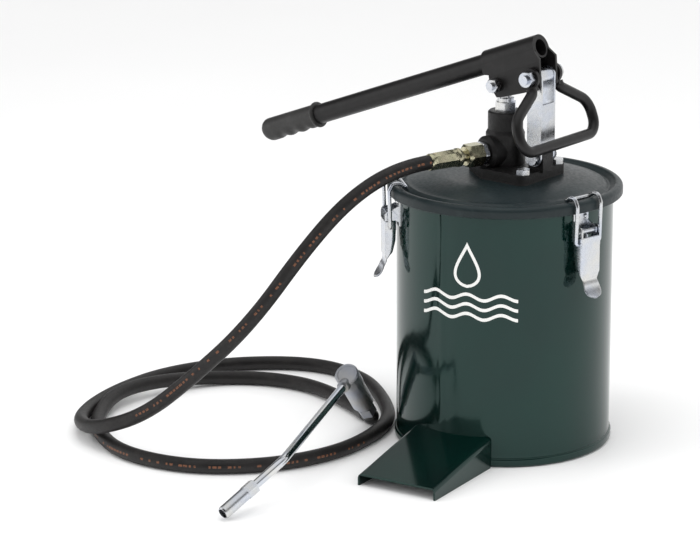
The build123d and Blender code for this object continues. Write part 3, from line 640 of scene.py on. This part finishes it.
# Outer profile: rim skirt, rounded band, groove, then a shallow dome that falls by the power 1.5 of the
# distance past its flat. The inner profile lies one sheet square to the outer one.
def makeLid():
    s = lidShape
    outer = [(s["out"] - 0.7, s["skirt"]), (s["out"], s["skirt"] + 0.7)]
    outer += list(arc(*s["rimRound"], 0, 90, 12))
    outer += list(arc(*s["rimInside"], 90, 150, 5))
    outer += [s["step"]]
    outer += list(arc(*s["groove"], -40, -140, 7))
    outer += list(arc(*s["grooveEdge"], 60, 100, 4))
    radii = np.linspace(s["domeOut"], s["domeIn"], 26)
    fall = np.clip((radii - s["domeFlat"]) / s["domeFall"], 0, 1) ** 1.5
    outer += list(np.stack([radii, s["domeFoot"] + s["domeRise"] * (1 - fall)], axis=1))
    outer += [(s["hole"], s["crown"])]
    outer = np.array(outer)
    ahead = np.gradient(outer, axis=0)
    ahead /= np.linalg.norm(ahead, axis=1)[:, None]
    inner = outer - s["sheet"] * np.stack([ahead[:, 1], -ahead[:, 0]], axis=1)
    inner[-1] = (s["hole"], s["crown"] - s["sheet"])
    inner[0] = (s["out"] - s["sheet"], s["skirt"])
    inner[1] = (s["out"] - s["sheet"], s["skirt"] + 0.9)
    piece = turned("lidShell", np.vstack([outer, inner[::-1]]), 220)
    give(piece, "lid_paint", "drum_and_head", "lid")


makeDrum()
makeLid()
print("drum and lid shaped")

# millimetres along the lever's tube, the slope in degrees
gripShape = {
    "start": 303.0, "end": 383.0, "radius": 12.0, "bore": 10.5, "collar": 14.0, "collarLength": 4.0,
    "dome": 9.0, "fingers": 3, "pitch": 17.0, "depth": 1.7, "swell": 1.2, "around": 64, "rows": 60,
    "slope": 20.5, "offset": 27.2, "front": 8.6,
}


# From distances along the tube's line, sideways and square above it to the frame's own axes.
def leverPoint(along, across, above):
    g = gripShape
    pivot = np.array(joints["lever_hinge"]["pos_m"]) / mm
    slope = math.radians(g["slope"])
    u = g["front"] - along
    w = g["offset"] + above
    x = pivot[0] + u * math.cos(slope) - w * math.sin(slope)
    z = pivot[2] + u * math.sin(slope) + w * math.cos(slope)
    return np.stack([x, across + 0 * x, z], axis=-1) * mm


# Radius along the grip: a collar bead, a neck, the handle, a domed end. Underneath, a swell less one cosine
# wave for each finger is added.
def makeGrip():
    g = gripShape
    handleEnd = g["end"] - g["dome"]
    collar = arc((g["start"] + g["collarLength"] / 2, g["collar"] - 2), 2, 180, 0, 9)
    handle = np.linspace(g["start"] + 6, handleEnd, g["rows"])
    handle = np.stack([handle, np.full(g["rows"], g["radius"])], axis=1)
    dome = arc((handleEnd, g["radius"] - g["dome"]), g["dome"], 90, 0, 14)
    line = np.vstack([[(g["start"], g["bore"]), (g["start"], g["collar"] - 2.4)], collar,
                      [(g["start"] + 4.3, g["radius"] + 0.2)], handle, dome, [(g["end"], 0.02)]])
    angle = np.linspace(0, 2 * np.pi, g["around"], endpoint=False)
    along = np.repeat(line[:, :1], g["around"], axis=1)
    radius = np.repeat(line[:, 1:], g["around"], axis=1)
    under = np.clip(-np.sin(angle), 0, 1)[None, :] ** 1.6
    first = g["start"] + 10
    wave = 0.5 - 0.5 * np.cos(2 * np.pi * (along - first) / g["pitch"])
    span = (along > first) & (along < first + g["fingers"] * g["pitch"])
    fadeIn = np.clip((along - g["start"] - 6) / 8, 0, 1)
    fadeOut = np.clip((g["end"] - 4 - along) / 6, 0, 1)
    radius = radius + under * (g["swell"] * fadeIn * fadeOut - g["depth"] * wave * span)
    points = leverPoint(along, radius * np.cos(angle), radius * np.sin(angle))
    piece = outward(gridPiece("leverGrip", points, closeColumns=True, capStart=True, capEnd=True))
    give(piece, "grip_rubber", "lever", "lever_grip")


makeGrip()
print("grip shaped")

# millimetres; front and back hold (distance from that end, radius) of the collar and the crimped shell
ferruleShape = {
    "start": 58.5, "length": 39.0, "height": 304.4, "line": (-0.29237, -0.9563), "flats": 8,
    "spread": 1.035,
    "front": [(0, 5), (0.01, 8.4), (0.5, 9.3), (1, 9.6), (4, 9.6), (4.6, 9.2), (5.4, 8.4), (7, 9.1)],
    "back": [(2, 8.7), (0.6, 8.3), (0, 7.9), (-0.001, 7.52)],
    "rows": 34, "around": 96,
}


# A collar, then a crimped shell: an eight-sided outline, cos(half a side) over cos(angle from its middle),
# that fades to a circle at both ends.
def makeFerrule():
    s = ferruleShape
    end = s["length"]
    along = np.concatenate([[0, 0.01, 0.5, 1, 4, 4.5, 5.2], np.linspace(6, end - 2, s["rows"]),
                            [end - 1, end, end + 0.001]])
    stations = [at for at, radius in s["front"]] + [end - at for at, radius in s["back"]]
    base = np.interp(along, stations, [radius for at, radius in s["front"] + s["back"]])
    angle = np.linspace(0, 2 * np.pi, s["around"], endpoint=False)
    press = np.clip((along - 7) / 3, 0, 1) * np.clip((end - 3 - along) / 3, 0, 1)
    flat = (angle * s["flats"] / (2 * np.pi)) % 1 - 0.5
    facet = math.cos(math.pi / s["flats"]) / np.cos(flat * 2 * np.pi / s["flats"])
    radius = base[:, None] * (1 + press[:, None] * (facet[None, :] * s["spread"] - 1))
    ahead = np.array([*s["line"], 0])
    level = np.array([-ahead[1], ahead[0], 0])
    up = np.array([0, 0, 1.0])
    centre = np.array([0, 0, s["height"]]) + ahead * (s["start"] + along)[:, None]
    ring = np.cos(angle)[:, None] * level + np.sin(angle)[:, None] * up
    points = centre[:, None, :] + radius[:, :, None] * ring[None]
    piece = outward(gridPiece("crimpedFerrule", points * mm, closeColumns=True, capStart=True, capEnd=True))
    give(piece, "yellow_zinc", "drum_and_head", "hose_ferrule")


makeFerrule()
print("ferrule shaped")

# millimetres and degrees; flanges hold (distance below the pin, depth of the turned sides)
latchShape = {
    "angles": (-12.5, -132.5, 107.5), "pinRadius": 121.0, "pinHeight": 243.0, "half": 12.5, "web": 6.2,
    "length": 46.0, "tab": 20.0, "sheet": 1.4, "bend": 1.6, "rows": 46,
    "flanges": [(5, 11.5), (12, 11.5), (26, 11.0), (38, 8.0), (46, 0.9), (66, 0.5)],
}


# Turns points that lie out along X, across along Y and up along Z round the drum's axis.
def roundDrum(x, y, z, angle):
    ca, sa = math.cos(math.radians(angle)), math.sin(math.radians(angle))
    return np.stack([x * ca - y * sa, x * sa + y * ca, z], axis=-1) * mm


# Middle line of web and tab, as distance out from the pin and height below it: straight, then an S that
# curls away from the drum by the power 2.6. The half width narrows to the tab and rounds off at its tip.
def latchProfile():
    s = latchShape
    t = np.linspace(0, 1, s["rows"])
    drop = 5 + t * (s["length"] + s["tab"] - 5)
    below = np.clip((drop - s["length"] + 4) / (s["tab"] + 4), 0, 1)
    out = s["web"] - 1.4 * np.sin(np.pi * np.clip(below * 2.2, 0, 1)) + 9.5 * below ** 2.6
    half = s["half"] - 3.4 * np.clip((drop - s["length"] + 3) / 7, 0, 1) ** 1.3
    half = half + 1.3 * np.sin(np.pi * np.clip((below - 0.35) / 0.65, 0, 1))
    tip = np.clip((drop - (s["length"] + s["tab"] - 7)) / 7, 0, 1)
    return out, -drop, half * np.sqrt(np.clip(1 - tip ** 2.6, 0.0, 1)) + 0.35


# A pressed channel: web and tab are one sheet whose sides turn in as flanges near the pin, each round a
# quarter circle. Across it run two flange points, five corner points, seven web points, and the same back.
def makeLatchLever(number, angle):
    s = latchShape
    out, height, half = latchProfile()
    at, deep = np.transpose(s["flanges"])
    depth = np.interp(-height, at, deep)
    turn = np.radians(np.linspace(0, 90, 5))
    across = np.concatenate([np.ones(7), np.linspace(0.8, -0.8, 7), -np.ones(7)])
    corner = np.minimum(s["bend"], depth * 0.8)
    inward = np.column_stack([-depth, -(depth + corner) / 2, -corner[:, None] * (1 - np.sin(turn))])
    narrowed = np.column_stack([0 * depth, 0 * depth, -corner[:, None] * (1 - np.cos(turn))])
    middle = np.zeros((len(out), 7))
    x = s["pinRadius"] + out[:, None] + np.hstack([inward, middle, inward[:, ::-1]])
    y = half[:, None] * across[None, :] + np.hstack([narrowed, middle, -narrowed[:, ::-1]])
    z = s["pinHeight"] + height[:, None] + 0 * x
    piece = gridPiece(f"latchHandle{number}", roundDrum(x, y, z, angle))
    thick = piece.modifiers.new("sheet", "SOLIDIFY")
    thick.thickness = s["sheet"] * mm
    thick.offset = -1
    return piece


# Two rounded ears that carry the lever on its pin and hold the wire's ends: discs joined by straight sides.
def makeLatchEars(number, angle):
    s = latchShape
    outline = np.vstack([arc((0.5, 0), 5.6, 150, -10, 12),
                         [(s["web"] - 0.2, -5), (s["web"] - 0.2, -15), (-6, -15)],
                         arc((-1.5, -2), 5.2, 215, 160, 6)])
    n = len(outline)
    x = s["pinRadius"] + outline[:, 0]
    z = s["pinHeight"] + outline[:, 1]
    outlines = [roundDrum(x, np.full(n, side * (s["half"] + offset)), z, angle)
                for side in (-1, 1) for offset in (0, -s["sheet"])]
    faces = []
    for base in (0, 2 * n):
        face = base + np.arange(n)
        faces += [face.tolist(), (face + n)[::-1].tolist(), *(base + wallQuads(n)).tolist()]
    return outward(meshPiece(f"latchEars{number}", np.vstack(outlines), faces))


for number, angle in enumerate(latchShape["angles"], 1):
    body = f"latch_lever_{number}"
    give(makeLatchLever(number, angle), "bright_zinc", body, f"latch_lever_{number}")
    give(makeLatchEars(number, angle), "bright_zinc", body)
print("latches shaped")

# millimetres, the angle round the drum in degrees; levels and foot are heights from the mark's own middle
markShape = {
    "angle": -74.6, "height": 200.0, "lift": 0.12, "sink": -0.3,
    "waves": {"levels": (-24, -34, -44), "reach": 52, "swing": 2.8, "pitch": 35, "thick": 3.4,
              "points": 60},
    "drop": {"foot": -13, "tall": 47, "half": 15.5, "band": 3.0, "tip": 5.0, "points": 40},
}


# Lays closed flat outlines, in millimetres across and up, round the drum as thin ink. Each outline runs
# there and back, so quads join its first half to its second.
def onDrum(name, flat):
    s = markShape
    points, faces, base = [], [], 0
    for outline in flat:
        n = len(outline)
        angle = math.radians(s["angle"]) + outline[:, 0] / drumShape["radius"]
        height = s["height"] + outline[:, 1]
        for lift in (s["lift"], s["sink"]):
            r = drumShape["radius"] + lift + lockSeam(angle, np.full(n, drumShape["radius"]), height)
            points.append(np.stack([r * np.cos(angle), r * np.sin(angle), height], axis=-1))
        i = np.arange(n // 2 - 1)
        front = base + np.stack([i, i + 1, n - 2 - i, n - 1 - i], axis=1)
        faces += np.stack([front, front[:, ::-1] + n], axis=1).reshape(-1, 4).tolist()
        faces += (base + wallQuads(n)).tolist()
        base += 2 * n
    piece = outward(meshPiece(name, np.vstack(points) * mm, faces))
    piece.data.materials.append(whiteInk())
    settle(piece, "drum_and_head", "drum_paint")


# One half of the drop's outline: a band inside the curve, its ends on the middle line.
def dropSide(half, height, side):
    s = markShape["drop"]
    curve = np.stack([half, height], axis=1)
    ahead = np.gradient(curve, axis=0)
    ahead /= np.linalg.norm(ahead, axis=1)[:, None]
    inner = curve + s["band"] * np.stack([-ahead[:, 1], ahead[:, 0]], axis=1)
    inner[:, 0] = np.maximum(inner[:, 0], 0.0)
    inner[0] = (0, height[0] + s["band"])
    inner[-1] = (0, height[-1] - s["tip"])
    outer = np.stack([np.maximum(half, 0.0), height], axis=1)
    return np.vstack([outer, inner[::-1]]) * (side, 1)


# Three level cosine waves under a falling drop, whose half width is a sine of the height's power 0.62, less
# a quarter towards the top: a plain sign for oil, with no lettering.
def makeMark():
    waves, drop = markShape["waves"], markShape["drop"]
    shapes = []
    x = np.linspace(-waves["reach"], waves["reach"], waves["points"])
    for level in waves["levels"]:
        lower = level + waves["swing"] * np.cos(x * 2 * np.pi / waves["pitch"])
        upper = lower + waves["thick"]
        shapes.append(np.vstack([np.stack([x, upper], axis=1), np.stack([x, lower], axis=1)[::-1]]))
    t = np.linspace(0, 1, drop["points"])
    height = drop["foot"] + drop["tall"] * t
    half = drop["half"] * np.sin(np.pi * t ** 0.62) * (1 - 0.25 * t)
    shapes += [dropSide(half, height, side) for side in (-1, 1)]
    onDrum("oilMark", shapes)


makeMark()
print("mark laid on the drum")

floorShape = {"left": -6, "right": 6, "front": -6, "back": 9}  # metres


def makeFloor():
    s = floorShape
    corners = np.array([(s["left"], s["front"], 0), (s["right"], s["front"], 0),
                        (s["right"], s["back"], 0), (s["left"], s["back"], 0)])
    floor = meshPiece("floor", corners, [(0, 1, 2, 3)])
    f = Finish("paleFloor", (0.9, 0.9, 0.9), rough=0.6)
    f.paint("Roughness", f.ramp(f.noise(3, 3), 0.3, 0.7, 0.5, 0.7))
    floor.data.materials.append(f.material)


makeFloor()
print("floor laid")
